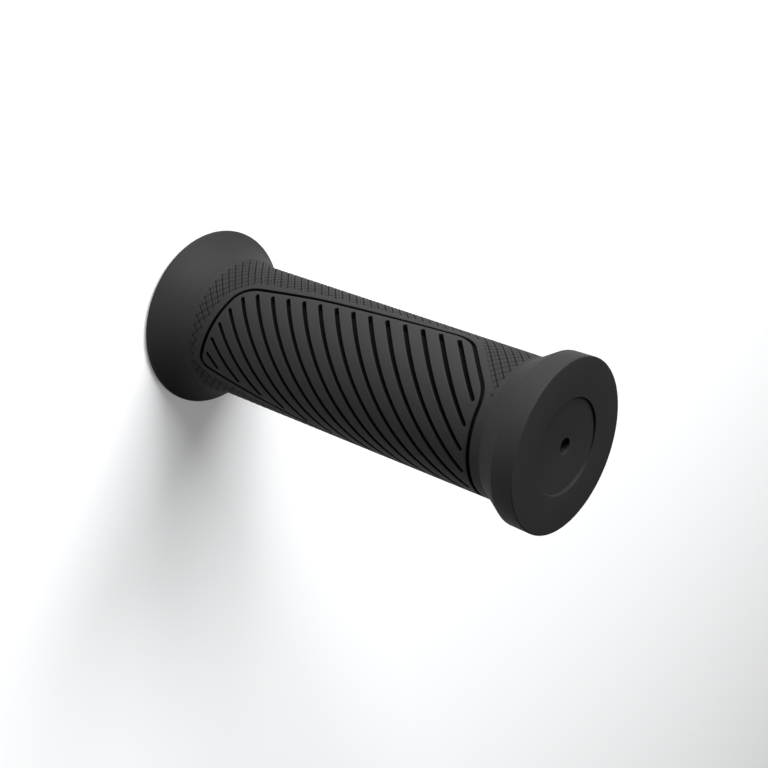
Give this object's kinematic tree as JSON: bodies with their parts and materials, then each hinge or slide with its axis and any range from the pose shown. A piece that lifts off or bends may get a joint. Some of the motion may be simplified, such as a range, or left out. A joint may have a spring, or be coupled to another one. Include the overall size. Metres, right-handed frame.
{
  "type": "bicycle handlebar grip",
  "caption": "Moulded rubber handlebar grip with an enlarged round outer end, a flared inner flange, slanting finger slots on one side and a blind bore.",
  "frame": {"origin": "centre of the flat mouth face of the inner flange, on the axis of the bore", "axes": "+Z along the bore from the mouth to the closed outer end; the slotted panel faces -Y and +X"},
  "size_m": [0.0454, 0.0454, 0.11],
  "materials": {
    "black_rubber": "matte moulded rubber"
  },
  "bodies": {
    "root": {"grip_sleeve": "black_rubber"}
  },
  "joints": []
}
